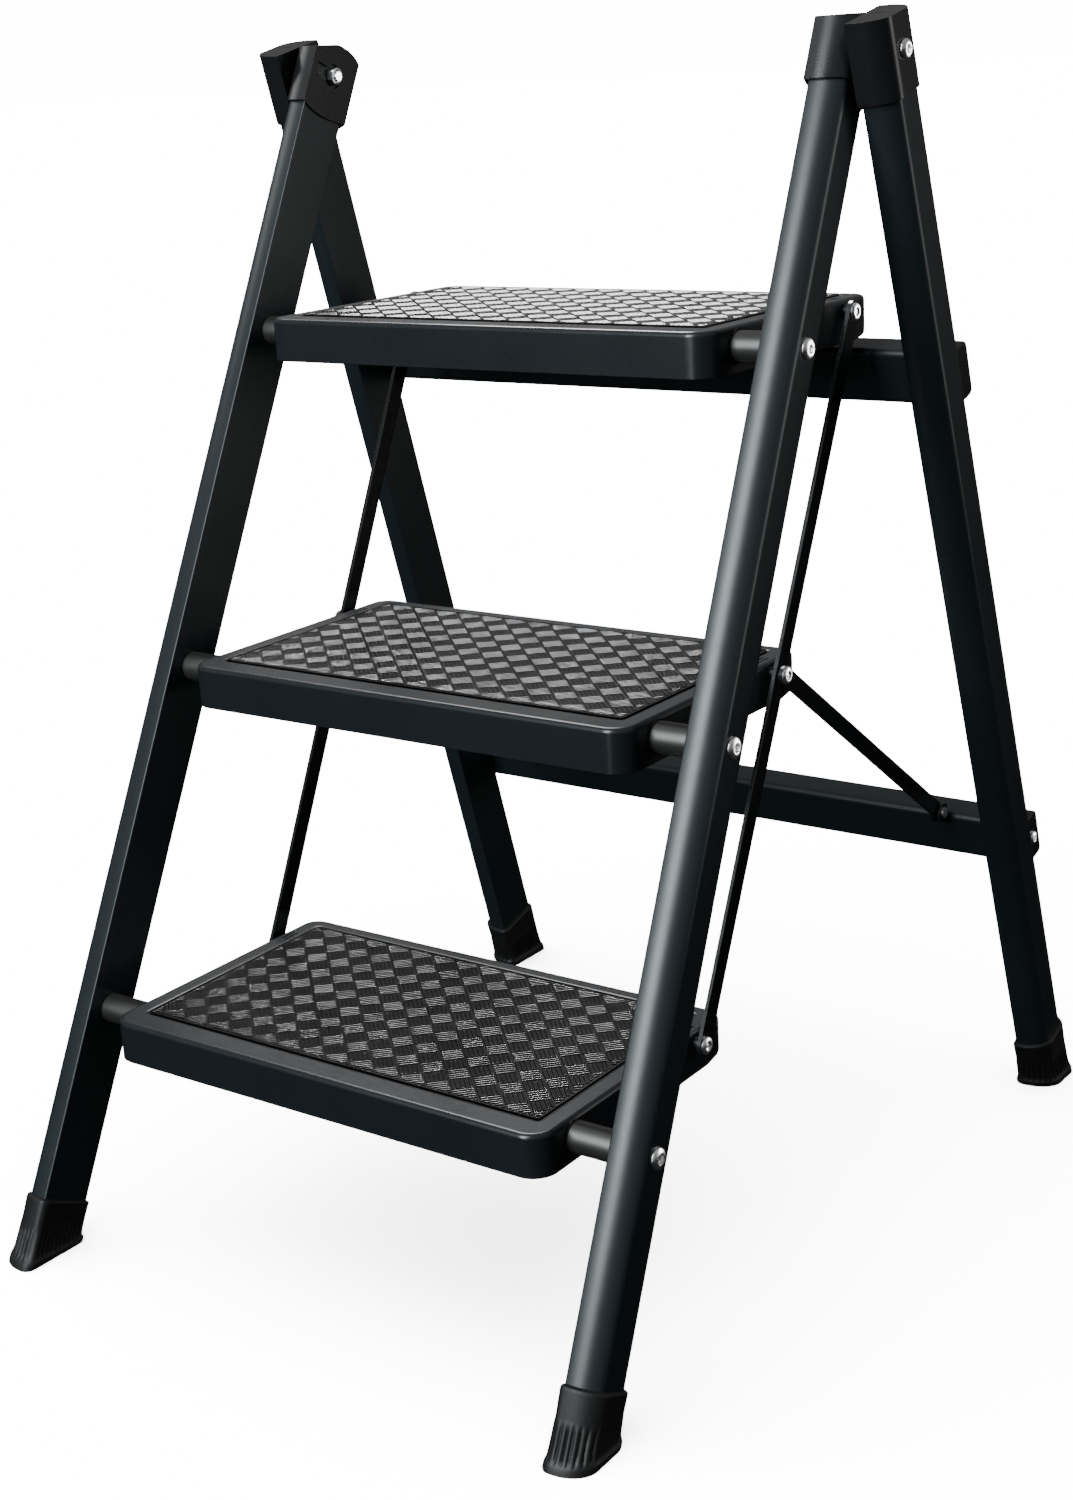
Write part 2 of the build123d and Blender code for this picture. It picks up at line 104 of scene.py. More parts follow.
def make_material(name, color, rough, metallic=0.0, specular=0.5, noise=180.0, rough_var=0.08, bump=0.02,
                  tone=0.25, edge_wear_and_highlight=0.0, edge_wear_and_highlight_color=(0.2, 0.2, 0.2), stretch=(1, 1, 1), fine=0.0):
    """Principled material with noise in its colour, roughness and bump, lighter edges and a fine grain. The
    lighter edges are edge wear on the leg and tray paint and a painted highlight on the bar paint.
    """
    mat = bpy.data.materials.new(name)
    nodes, links = nodes_of(mat)
    bsdf = nodes["Principled BSDF"]
    bsdf.inputs["Metallic"].default_value = metallic
    bsdf.inputs["Specular IOR Level"].default_value = specular
    geo = nodes.new("ShaderNodeTexCoord")
    scale = nodes.new("ShaderNodeMapping")
    scale.inputs["Scale"].default_value = stretch
    links.new(geo.outputs["Object"], scale.inputs["Vector"])
    tex = nodes.new("ShaderNodeTexNoise")
    tex.inputs["Scale"].default_value = noise
    tex.inputs["Detail"].default_value = 5.0
    links.new(scale.outputs["Vector"], tex.inputs["Vector"])
    big = nodes.new("ShaderNodeTexNoise")
    big.inputs["Scale"].default_value = noise * 0.06
    big.inputs["Detail"].default_value = 3.0
    links.new(scale.outputs["Vector"], big.inputs["Vector"])
    ramp = nodes.new("ShaderNodeMapRange")
    ramp.inputs["From Min"].default_value = 0.3
    ramp.inputs["From Max"].default_value = 0.7
    ramp.inputs["To Min"].default_value = max(0.02, rough - rough_var)
    ramp.inputs["To Max"].default_value = rough + rough_var
    mixn = nodes.new("ShaderNodeMath")
    mixn.operation = "ADD"
    half = nodes.new("ShaderNodeMath")
    half.operation = "MULTIPLY"
    half.inputs[1].default_value = 0.5
    links.new(tex.outputs["Fac"], mixn.inputs[0])
    links.new(big.outputs["Fac"], mixn.inputs[1])
    links.new(mixn.outputs[0], half.inputs[0])
    links.new(half.outputs[0], ramp.inputs["Value"])
    links.new(ramp.outputs["Result"], bsdf.inputs["Roughness"])
    col = nodes.new("ShaderNodeMix")
    col.data_type = "RGBA"
    dark = tuple(c * (1 - tone) for c in color)
    lite = tuple(min(1.0, c * (1 + tone)) for c in color)
    col.inputs["A"].default_value = (*dark, 1)
    col.inputs["B"].default_value = (*lite, 1)
    links.new(big.outputs["Fac"], col.inputs["Factor"])
    out_color = col.outputs["Result"]
    # lighter colour along the edges: edge wear, and on the bar paint a painted highlight along the bars'
    # bright front edges
    if edge_wear_and_highlight > 0:
        bev = nodes.new("ShaderNodeBevel")
        bev.samples = 4
        bev.inputs["Radius"].default_value = 0.0012
        geom = nodes.new("ShaderNodeNewGeometry")
        dot = nodes.new("ShaderNodeVectorMath")
        dot.operation = "DOT_PRODUCT"
        links.new(bev.outputs["Normal"], dot.inputs[0])
        links.new(geom.outputs["Normal"], dot.inputs[1])
        edge = nodes.new("ShaderNodeMapRange")
        edge.inputs["From Min"].default_value = 0.965
        edge.inputs["From Max"].default_value = 0.85
        edge.inputs["To Min"].default_value = 0.0
        edge.inputs["To Max"].default_value = edge_wear_and_highlight
        links.new(dot.outputs["Value"], edge.inputs["Value"])
        mask = nodes.new("ShaderNodeMath")
        mask.operation = "MULTIPLY"
        links.new(edge.outputs["Result"], mask.inputs[0])
        links.new(tex.outputs["Fac"], mask.inputs[1])
        worn_and_highlit_edge = nodes.new("ShaderNodeMix")
        worn_and_highlit_edge.data_type = "RGBA"
        worn_and_highlit_edge.inputs["B"].default_value = (*edge_wear_and_highlight_color, 1)
        links.new(mask.outputs[0], worn_and_highlit_edge.inputs["Factor"])
        links.new(out_color, worn_and_highlit_edge.inputs["A"])
        out_color = worn_and_highlit_edge.outputs["Result"]
    links.new(out_color, bsdf.inputs["Base Color"])
    bumpn = nodes.new("ShaderNodeBump")
    bumpn.inputs["Strength"].default_value = bump
    bumpn.inputs["Distance"].default_value = 0.0006
    links.new(tex.outputs["Fac"], bumpn.inputs["Height"])
    last = bumpn
    if fine > 0:
        grain = nodes.new("ShaderNodeTexNoise")
        grain.inputs["Scale"].default_value = 2600.0
        links.new(scale.outputs["Vector"], grain.inputs["Vector"])
        b2 = nodes.new("ShaderNodeBump")
        b2.inputs["Strength"].default_value = fine
        b2.inputs["Distance"].default_value = 0.0002
        links.new(grain.outputs["Fac"], b2.inputs["Height"])
        links.new(bumpn.outputs["Normal"], b2.inputs["Normal"])
        last = b2
    links.new(last.outputs["Normal"], bsdf.inputs["Normal"])
    return mat


SURFACES = {
    "leg_paint": dict(color=(0.0115, 0.0165, 0.0195), rough=0.34, specular=0.55, noise=240, bump=0.03,
                      rough_var=0.03, tone=0.08, edge_wear_and_highlight=0.03, edge_wear_and_highlight_color=(0.05, 0.055, 0.06), fine=0.015),
    # the bar paint's bright edge colour is a painted highlight along the bars' front edges, not wear
    "bar_paint": dict(color=(0.006, 0.007, 0.0085), rough=0.24, specular=0.6, noise=120, bump=0.01,
                      rough_var=0.04, tone=0.12, edge_wear_and_highlight=0.35, edge_wear_and_highlight_color=(0.22, 0.22, 0.22), fine=0.02),
    "tray_paint": dict(color=(0.0095, 0.0120, 0.0145), rough=0.29, specular=0.55, noise=260, bump=0.012,
                       rough_var=0.03, tone=0.10, edge_wear_and_highlight=0.15, edge_wear_and_highlight_color=(0.06, 0.065, 0.07), fine=0.01),
    "cap_plastic": dict(color=(0.010, 0.0105, 0.0115), rough=0.28, specular=0.55, noise=300, bump=0.012,
                        rough_var=0.03, tone=0.12),
    "foot_rubber": dict(color=(0.0075, 0.0075, 0.008), rough=0.5, specular=0.4, noise=320, bump=0.12,
                        rough_var=0.08, tone=0.2, fine=0.25),
    "mat_rubber": dict(color=(0.0035, 0.0035, 0.0037), rough=0.19, specular=0.38, noise=420, bump=0.02,
                       rough_var=0.04, tone=0.2, fine=0.02),
    "tube_metal": dict(color=(0.16, 0.158, 0.153), rough=0.36, metallic=0.9, specular=0.5, noise=180,
                       bump=0.04, rough_var=0.06, tone=0.15, stretch=(0.08, 1, 1), fine=0.05),
    "bright_steel": dict(color=(0.88, 0.88, 0.89), rough=0.28, metallic=1.0, noise=500, bump=0.05,
                         rough_var=0.07, tone=0.06, fine=0.05),
}
MATS = {name: make_material(name, **surface) for name, surface in SURFACES.items()}
for name, node in frame["nodes"].items():
    slot_name = next(s["material_slot"] for s in frame["record"]["subparts"] if s["node"] == name)
    node.data.materials.clear()
    node.data.materials.append(MATS[slot_name])

# ------------------------------------------------------------------------------------- mesh helpers


class Build:
    """Collects vertices (millimetres) and faces for one visual piece."""

    def __init__(self):
        self.v = []
        self.f = []

    def add(self, verts, faces):
        base = len(self.v)
        self.v.extend([tuple(p) for p in verts])
        self.f.extend([tuple(base + i for i in face) for face in faces])

    def loft(self, rings, start=True, end=True, closed=True):
        n = len(rings[0])
        verts = [p for ring in rings for p in ring]
        faces = []
        for r in range(len(rings) - 1):
            for i in range(n if closed else n - 1):
                j = (i + 1) % n
                faces.append((r * n + i, r * n + j, (r + 1) * n + j, (r + 1) * n + i))
        if start:
            faces.append(tuple(reversed(range(n))))
        if end:
            faces.append(tuple((len(rings) - 1) * n + i for i in range(n)))
        self.add(verts, faces)

    def mirrored(self):
        other = Build()
        other.v = [(-x, y, z) for x, y, z in self.v]
        other.f = [tuple(reversed(face)) for face in self.f]
        return other

    def plus(self, other):
        both = Build()
        both.add(self.v, self.f)
        both.add(other.v, other.f)
        return both

    def shifted(self, offset):
        moved = Build()
        moved.v = [tuple(np.array(p) + offset) for p in self.v]
        moved.f = list(self.f)
        return moved


def finish_object(name, build, node, bevel=0.0, angle=38, slot=None):
    """Makes the visual piece that stands in for a node and rides on the node's body."""
    mesh = bpy.data.meshes.new(name)
    mesh.from_pydata([tuple(np.array(p) * MM) for p in build.v], [], build.f)
    mesh.update()
    bm = bmesh.new()
    bm.from_mesh(mesh)
    bmesh.ops.recalc_face_normals(bm, faces=bm.faces)
    bm.to_mesh(mesh)
    bm.free()
    mesh.shade_smooth()
    obj = bpy.data.objects.new(name, mesh)
    bpy.context.scene.collection.objects.link(obj)
    if bevel > 0:
        mod = obj.modifiers.new("bevel", "BEVEL")
        mod.width = bevel * MM
        mod.segments = 3
        mod.limit_method = "ANGLE"
        mod.angle_limit = math.radians(30)
        mod.harden_normals = True
        mod.use_clamp_overlap = True
    mesh.set_sharp_from_angle(angle=math.radians(angle))
    even = obj.modifiers.new("even", "WEIGHTED_NORMAL")
    even.keep_sharp = True
    even.weight = 80
    slot_name = slot or next(s["material_slot"] for s in frame["record"]["subparts"] if s["node"] == node)
    mesh.materials.append(MATS[slot_name])
    bodies = frame["record"]["behaviour"]["bodies"]
    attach(obj, next(b for b, members in bodies.items() if node in members))
    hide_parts(node)
    return obj


class LegFrame:
    """Axes of a right-hand leg: x outward, y to the front, z down the leg, from the top pivot."""

    def __init__(self, inner_x, lean, toward):
        z = np.array([SPLAY, toward * math.sin(lean), -math.cos(lean)])
        self.z = z / np.linalg.norm(z)
        x = np.array([1.0, 0, 0])
        x = x - self.z * x.dot(self.z)
        self.x = x / np.linalg.norm(x)
        self.y = np.cross(self.z, self.x)
        self.o = np.array([inner_x, TOP[1], TOP[2]])

    def at(self, t, w, d):
        return self.o + t * self.x + w * self.y + d * self.z

    def floor(self, t, w, height=0.0):
        p = self.o + t * self.x + w * self.y
        return (height - p[2]) / self.z[2]


FRONT_IN = 218.3
REAR_IN = 247.4
FRONT = LegFrame(FRONT_IN, FRONT_LEAN, -1)
REAR = LegFrame(REAR_IN, REAR_LEAN, 1)


def d_section(corner=1.1):
    """Outline of the leg tube, (t outward, w to the front), starting on the inner face."""
    pts = []
    for a in np.linspace(0, math.pi / 2, 4):
        pts.append((corner * (1 - math.cos(a)), -LEG_W + corner * (1 - math.sin(a))))
    for a in np.linspace(0, math.pi / 2, 14):
        pts.append((FLAT + (LEG_T - FLAT) * math.sin(a), -(STRIP + (LEG_W - STRIP) * math.cos(a))))
    pts.append((LEG_T, 0.0))
    for a in np.linspace(math.pi / 2, 0, 14):
        pts.append((FLAT + (LEG_T - FLAT) * math.sin(a), STRIP + (LEG_W - STRIP) * math.cos(a)))
    for a in np.linspace(math.pi / 2, 0, 4):
        pts.append((corner * (1 - math.cos(a)), LEG_W - corner * (1 - math.sin(a))))
    return pts


def leg(fr, top, length):
    b = Build()
    sec = d_section()
    stations = [-top] + list(np.linspace(0, length, 12)[1:-1]) + [length]
    b.loft([[fr.at(t, w, d) for t, w in sec] for d in stations])
    return b


def pair(stem, build, **kw):
    finish_object("v_" + stem + "_right", build, stem + "_right", **kw)
    finish_object("v_" + stem + "_left", build.mirrored(), stem + "_left", **kw)


pair("front_leg", leg(FRONT, 10.0, 905.0))
pair("rear_leg", leg(REAR, 10.0, 855.0))

# ---------------------------------------------------------------------------------------------- caps


def paired_section(n=36):
    """Section as (w, inner t, outer t) rows from rear to front, so the top can be lofted across."""
    hw = LEG_W + CAP_GROW_W
    right = LEG_T + CAP_GROW_T
    rows = []
    for a in np.linspace(-math.pi / 2, math.pi / 2, n + 1):
        u = math.sin(a)
        w = hw * u
        if abs(w) <= STRIP:
            t = right
        else:
            k = (abs(w) - STRIP) / (hw - STRIP)
            t = FLAT + (right - FLAT) * math.sqrt(max(0.0, 1 - k * k))
        rows.append((w, -CAP_GROW_T, t))
    return rows


def cap(fr, top_of, bottom_of):
    """Cap over a leg top. top_of(w, t) and bottom_of(w, t) give the distance along the leg axis."""
    b = Build()
    rows = paired_section()
    outer = [(t, w) for w, _, t in rows] + [(ti, w) for w, ti, _ in reversed(rows)]
    n = len(rows)
    narrow = (LEG_W + 0.7) / (LEG_W + CAP_GROW_W)
    slim = [(t + (0.9 if t < 0 else -0.9) if abs(t - FLAT) > 0.5 else t, w * narrow) for t, w in outer]
    steps = 10
    rings = []
    for k in range(steps + 1):
        f = k / steps
        rings.append([fr.at(t, w, bottom_of(w, t) * (1 - f) + top_of(w, t) * f) for t, w in outer])
    lip = [fr.at(t, w, bottom_of(w0, t0)) for (t, w), (t0, w0) in zip(slim, outer)]
    deep = [fr.at(t, w, bottom_of(w0, t0) - 7.0) for (t, w), (t0, w0) in zip(slim, outer)]
    b.loft([deep, lip] + rings, start=True, end=False)
    base = len(b.v)
    top = rings[-1]
    b.v.extend([tuple(p) for p in top])
    for i in range(n - 1):
        b.f.append((base + i, base + i + 1, base + 2 * n - 2 - i, base + 2 * n - 1 - i))
    bm_merge(b)
    return b


def bm_merge(b):
    """Joins points that fall together and drops faces without area."""
    mesh = bpy.data.meshes.new("tmp")
    mesh.from_pydata(b.v, [], b.f)
    bm = bmesh.new()
    bm.from_mesh(mesh)
    bmesh.ops.remove_doubles(bm, verts=bm.verts, dist=0.01)
    bmesh.ops.dissolve_degenerate(bm, dist=0.01, edges=bm.edges)
    bm.verts.index_update()
    b.v = [tuple(v.co) for v in bm.verts]
    b.f = [tuple(v.index for v in f.verts) for f in bm.faces]
    bm.free()
    bpy.data.meshes.remove(mesh)


CROWN_BACK = (-25.3, -4.2, 0.0, 4.0, 10.7, 16.0, 21.0, 25.3)
CROWN_UP = (13.9, 24.0, 25.0, 25.4, 25.3, 24.5, 23.0, 20.6)


def front_top(w, t):
    """Flat crown at the front, then an arch falling to the rear. w is to the front."""
    return -float(np.interp(-w, CROWN_BACK, CROWN_UP))


def front_bottom(w, t):
    hw = LEG_W + CAP_GROW_W
    s = min(1.0, max(0.0, (hw - w) / (2 * hw)))
    inner = 29.0 + 4.0 * math.sin(math.pi * s ** 0.8)
    outer = 29.0 - 3.2 * math.sin(math.pi * min(s / 0.5, 1.0)) + 5.0 * max(0.0, (s - 0.35) / 0.65) ** 1.3
    k = min(1.0, max(0.0, (t + CAP_GROW_T) / 8.0))
    return inner * (1 - k) + outer * k


def rear_top(w, t):
    return -(23.6 + 0.07 * w)


def rear_bottom(w, t):
    return 29.5


front_cap = cap(FRONT, front_top, front_bottom)
rear_cap = cap(REAR, rear_top, rear_bottom)


def carve(obj, cutter_build):
    """Cuts the piece with a closed mesh and keeps the result as plain mesh data."""
    mesh = bpy.data.meshes.new("cutter")
    mesh.from_pydata([tuple(np.array(p) * MM) for p in cutter_build.v], [], cutter_build.f)
    bm = bmesh.new()
    bm.from_mesh(mesh)
    bmesh.ops.recalc_face_normals(bm, faces=bm.faces)
    bm.to_mesh(mesh)
    bm.free()
    cutter = bpy.data.objects.new("cutter", mesh)
    bpy.context.scene.collection.objects.link(cutter)
    mod = obj.modifiers.new("cut", "BOOLEAN")
    mod.operation = "DIFFERENCE"
    mod.solver = "EXACT"
    mod.object = cutter
    even = obj.modifiers["even"]
    even.show_viewport = False
    bpy.context.view_layer.update()
    done = bpy.data.meshes.new_from_object(obj.evaluated_get(bpy.context.evaluated_depsgraph_get()))
    even.show_viewport = True
    for m in [m for m in obj.modifiers if m != even]:
        obj.modifiers.remove(m)
    old = obj.data
    if "custom_normal" in done.attributes:
        done.attributes.remove(done.attributes["custom_normal"])
    obj.data = done
    obj.data.set_sharp_from_angle(angle=math.radians(38))
    bpy.data.objects.remove(cutter)
    bpy.data.meshes.remove(mesh)
    bpy.data.meshes.remove(old)


def boxy(lo, hi, fr=None):
    """Closed box from lo to hi, in a leg's axes when one is given."""
    b = Build()
    pts = []
    for d in (lo[2], hi[2]):
        pts.append([(lo[0], lo[1], d), (hi[0], lo[1], d), (hi[0], hi[1], d), (lo[0], hi[1], d)])
    if fr is not None:
        pts = [[fr.at(*p) for p in ring] for ring in pts]
    b.loft(pts)
    return b


def circle_pts(r, n=48):
    return [(r * math.cos(a), r * math.sin(a)) for a in np.linspace(0, 2 * math.pi, n, endpoint=False)]


def disc(x0, x1, y, z, r, n=40):
    """Closed cylinder along X from x0 to x1."""
    b = Build()
    ring = [(y + u, z + v) for u, v in circle_pts(r, n)]
    b.loft([[(x0, p, q) for p, q in ring], [(x1, p, q) for p, q in ring]])
    return b


slot_cut = boxy((-4.0, -3.2, -4.2), (1.6, 19.0, 4.2), FRONT)
well = disc(FRONT_IN - 6.0, FRONT_IN + 1.6, TOP[1], TOP[2], 9.2)
groove = boxy((7.0, -3.0, -30.0), (15.0, -1.8, -22.6), REAR)
for side, flip in (("right", False), ("left", True)):
    for stem, whole, cutters in (("front_cap_", front_cap, (slot_cut, well)),
                                 ("rear_cap_", rear_cap, (groove,))):
        shape = whole.mirrored() if flip else whole
        obj = finish_object("v_" + stem + side, shape, stem + side, bevel=1.3, angle=30)
        for cutter in cutters:
            carve(obj, cutter.mirrored() if flip else cutter)

# --------------------------------------------------------------------------------------------- feet


def ring_count(sec, n):
    """Resamples a closed outline to n evenly spaced points with outward normals."""
    pts = np.array(sec)
    closed = np.vstack([pts, pts[:1]])
    seg = np.linalg.norm(np.diff(closed, axis=0), axis=1)
    keep = np.concatenate([[True], seg > 1e-6])
    closed = closed[keep]
    seg = seg[seg > 1e-6]
    s = np.concatenate([[0], np.cumsum(seg)])
    at = np.linspace(0, s[-1], n, endpoint=False)
    out = np.column_stack([np.interp(at, s, closed[:, 0]), np.interp(at, s, closed[:, 1])])
    tang = np.roll(out, -1, axis=0) - np.roll(out, 1, axis=0)
    tang /= np.linalg.norm(tang, axis=1)[:, None]
    normal = np.column_stack([tang[:, 1], -tang[:, 0]])
    mid = out.mean(0)
    if ((out - mid) * normal).sum() < 0:
        normal = -normal
    return out, normal, at / s[-1]


def foot(fr, tall):
    """Boot round the end of a leg, ribbed over its middle and cut level with the floor."""
    b = Build()
    base, normal, param = ring_count(d_section(corner=2.0), 192)
    ribs = 30
    top_d = fr.floor(LEG_T / 2, 0.0) - tall
    rows = [(-0.02, 0.3), (0.0, 2.2), (0.012, 2.8), (0.05, 3.0), (0.36, 2.6), (0.40, 2.7), (0.44, 2.9),
            (0.50, 3.0), (0.62, 3.1), (0.74, 3.3), (0.82, 3.6), (0.86, 4.0), (0.885, 4.6), (0.91, 4.9),
            (0.985, 5.0), (1.0, 4.5)]
    rings = []
    for f, grow in rows:
        depth = 0.0
        if 0.42 < f < 0.87:
            depth = 1.15 * min(1.0, (f - 0.42) / 0.06, (0.885 - f) / 0.05)
        ring = []
        for (t, w), nrm, u in zip(base, normal, param):
            wave = 0.5 - 0.5 * math.cos(2 * math.pi * ribs * u)
            g = grow - depth * (wave ** 3)
            p = (t + nrm[0] * g, w + nrm[1] * g)
            floor_d = fr.floor(p[0], p[1])
            d = top_d + f * (floor_d - top_d)
            ring.append(fr.at(p[0], p[1], d))
        rings.append(ring)
    inner = [fr.at(t - nx * 0.2, w - ny * 0.2, top_d + 4.0) for (t, w), (nx, ny) in zip(base, normal)]
    b.loft([inner] + rings)
    return b


pair("front_foot", foot(FRONT, FRONT_FOOT), angle=50)
pair("rear_foot", foot(REAR, REAR_FOOT), angle=50)

# ------------------------------------------------------------------------------------------- screws


def hex_pts(r, phase=0.3):
    out = []
    for a in np.linspace(0, 2 * math.pi, 48, endpoint=False):
        k = (a % (math.pi / 3)) - math.pi / 6
        rad = r * math.cos(math.pi / 6) / math.cos(k)
        out.append((rad * math.cos(a + phase), rad * math.sin(a + phase)))
    return out


def lathe_x(profile, y, z, x0):
    """Rings (x offset, radius, shape) stacked along +X. shape is "c" for a circle or "h" for a hexagon."""
    b = Build()
    rings = []
    for x, r, shape in profile:
        pts = circle_pts(r) if shape == "c" else hex_pts(r)
        rings.append([(x0 + x, y + p, z + q) for p, q in pts])
    b.loft(rings)
    return b


def button(x0, y, z, r, h, hexr):
    """Button head of radius r and height h with a hexagonal socket."""
    prof = [(-3.0, 3.0, "c"), (0.0, 3.0, "c"), (0.0, r * 0.97, "c"), (0.25, r, "c"),
            (h * 0.35, r * 0.985, "c"), (h * 0.62, r * 0.9, "c"), (h * 0.85, r * 0.76, "c"),
            (h, r * 0.6, "c"), (h, hexr + 0.25, "c"), (h - 0.15, hexr, "h"), (h - 1.7, hexr * 0.97, "h"),
            (h - 2.0, 0.4, "c")]
    return lathe_x(prof, y, z, x0)


def rivet_ring(x0, y, z, r=RIVET_R, h=RIVET_H):
    """Rivet head with a dimple in its middle."""
    prof = [(-0.4, 3.0, "c"), (0.0, r * 0.96, "c"), (0.2, r, "c"), (h * 0.5, r * 0.95, "c"),
            (h * 0.85, r * 0.8, "c"), (h, r * 0.64, "c"), (h - 0.1, r * 0.5, "c"),
            (h - 0.9, r * 0.42, "c"), (h - 1.3, r * 0.3, "c"), (h - 0.9, 0.3, "c")]
    return lathe_x(prof, y, z, x0)


def leg_reach(step):
    """Distance down the front leg from the top pivot to a step."""
    return (TOP[2] - STEPS[step][2]) / math.cos(FRONT_LEAN)


bolts = Build()
for name, p in STEPS.items():
    face_out = FRONT_IN + LEG_T + SPLAY * leg_reach(name)
    one = button(face_out - 0.15, p[1], p[2], BOLT_R, 3.0, 3.4)
    bolts = bolts.plus(one).plus(one.mirrored())
finish_object("v_leg_bolts", bolts, "leg_bolts", angle=45)

cap_out = REAR_IN + LEG_T + CAP_GROW_T
one = button(cap_out - 0.05, TOP[1], TOP[2], TOP_BOLT_R, 3.2, 3.3)
tip_x = FRONT_IN - CAP_GROW_T
stud = lathe_x([(12.0, 4.0, "c"), (-5.0, 4.0, "c"), (-5.6, 3.4, "c"), (-5.6, 1.6, "c"), (-5.0, 0.3, "c")],
               TOP[1], TOP[2], tip_x)
both = one.plus(stud)
finish_object("v_top_pivot_bolts", both.plus(both.mirrored()), "top_pivot_bolts", angle=45)
nut = lathe_x([(1.4, 4.0, "c"), (1.4, 7.0, "h"), (-3.0, 7.1, "h"), (-4.2, 6.4, "c"), (-4.6, 5.0, "c"),
               (-4.2, 4.1, "c")], TOP[1], TOP[2], tip_x)
finish_object("v_top_pivot_nuts", nut.plus(nut.mirrored()), "top_pivot_nuts", angle=30)

# -------------------------------------------------------------------------------------------- tubes
for name, p in STEPS.items():
    lo, hi = side_extent("pivot_tube_" + name)
    b = Build()
    xs = np.linspace(lo + 0.6, hi - 0.6, 14)
    b.loft([[(x, p[1] + u, p[2] + v) for u, v in circle_pts(TUBE_R, 64)] for x in xs])
    finish_object("v_pivot_tube_" + name, b, "pivot_tube_" + name, angle=50)

# -------------------------------------------------------------------------------------------- trays
TRAY_X, TRAY_F, TRAY_R = 194.0, -39.0, 190.0
TRAY_TOP, TRAY_BOT = 14.0, -17.3
TRAY_CORNER_FRONT, TRAY_CORNER_REAR = 18.0, 14.0
MAT_X, MAT_F, MAT_R = 177.0, -16.0, 175.5


def rounded_loop(x, f, r, front, rear, per=12, straight=16):
    """Rounded rectangle seen from above, counter-clockwise: |x| < x, f < y < r, two corner radii."""
    corners = [((x - front, f + front), front, -90), ((x - rear, r - rear), rear, 0),
               ((-x + rear, r - rear), rear, 90), ((-x + front, f + front), front, 180)]
    pts = []
    for k, ((cx, cy), rad, a0) in enumerate(corners):
        for a in np.linspace(math.radians(a0), math.radians(a0 + 90), per):
            pts.append((cx + rad * math.cos(a), cy + rad * math.sin(a)))
        (nx, ny), next_rad, a1 = corners[(k + 1) % 4]
        start = pts[-1]
        stop = (nx + next_rad * math.cos(math.radians(a1)), ny + next_rad * math.sin(math.radians(a1)))
        for s in np.linspace(0, 1, straight + 2)[1:-1]:
            pts.append((start[0] * (1 - s) + stop[0] * s, start[1] * (1 - s) + stop[1] * s))
    return pts


def tray_ring(inset, z):
    """Outline of the tray moved in by inset. z is a height or gives one for each y."""
    loop = rounded_loop(TRAY_X - inset, TRAY_F + inset, TRAY_R - inset,
                        max(TRAY_CORNER_FRONT - inset, 0.4), max(TRAY_CORNER_REAR - inset, 0.4))
    return [(x, y, z(y) if callable(z) else z) for x, y in loop]


def mat_ring(grow, corner, z):
    """Outline of the mat moved out by grow."""
    loop = rounded_loop(MAT_X + grow, MAT_F - grow, MAT_R + grow, corner, corner)
    return [(x, y, z) for x, y in loop]


def skirt_bottom(y):
    """Lower edge of the tray skirt: level, then rising round the rear end."""
    return float(np.interp(y, (163.0, 170.0, 176.0, 183.0, 190.0), (TRAY_BOT, -16.6, -14.8, -12.0, -8.6)))


def tray_build():
    """Pressed tread, lofted from the underside round the skirt and the rolled edge to the mat's recess."""
    b = Build()
    edge = 3.6
    under = TRAY_TOP - 2.3
    rings = [
        tray_ring(6.0, under),
        tray_ring(3.5, under),
        tray_ring(1.5, under - 2.0),
        tray_ring(1.5, lambda y: max(skirt_bottom(y) + 0.4, TRAY_BOT)),
        tray_ring(1.1, skirt_bottom),
        tray_ring(0.5, skirt_bottom),
        tray_ring(0.0, lambda y: skirt_bottom(y) + 0.5),
        tray_ring(0.0, 2.0),
    ]
    for a in np.linspace(0, math.pi / 2, 8):
        rings.append(tray_ring(edge * (1 - math.cos(a)), TRAY_TOP - edge + edge * math.sin(a)))
    rings.append(tray_ring(edge + 0.5, TRAY_TOP))
    for grow, corner, drop in ((3.0, 5.0, 0.0), (2.3, 5.0, 0.0), (1.5, 4.5, 0.4), (1.2, 4.4, 1.1)):
        rings.append(mat_ring(grow, corner, TRAY_TOP - drop))
    b.loft(rings)
    return b


def tab_slots():
    """Two short slots in each side border, above the link pivots."""
    b = Build()
    for side in (-1, 1):
        for x in (183.2, 187.0):
            b = b.plus(boxy((side * x - 0.7, 143.0, TRAY_TOP - 1.2), (side * x + 0.7, 158.0, TRAY_TOP + 1.0)))
    return b


tray = tray_build()
slots = tab_slots()
for name, p in STEPS.items():
    at = np.array([0, p[1], p[2]])
    obj = finish_object("v_step_tray_" + name, tray.shifted(at), "step_tray_" + name, angle=40)
    carve(obj, slots.shifted(at))

# --------------------------------------------------------------------------------------------- mats
BLOCK = 15.8
RIBS = 5
RIM = 1.5


def clip_line(p, q, x, f, r):
    """Part of a segment inside the rectangle |x| < x, f < y < r (Liang-Barsky), or None."""
    t0, t1 = 0.0, 1.0
    d = (q[0] - p[0], q[1] - p[1])
    for den, num in ((-d[0], p[0] + x), (d[0], x - p[0]), (-d[1], p[1] - f), (d[1], r - p[1])):
        if abs(den) < 1e-9:
            if num < 0:
                return None
            continue
        t = num / den
        if den < 0:
            t0 = max(t0, t)
        else:
            t1 = min(t1, t)
    if t1 - t0 < 1e-3:
        return None
    return (p[0] + d[0] * t0, p[1] + d[1] * t0), (p[0] + d[0] * t1, p[1] + d[1] * t1)


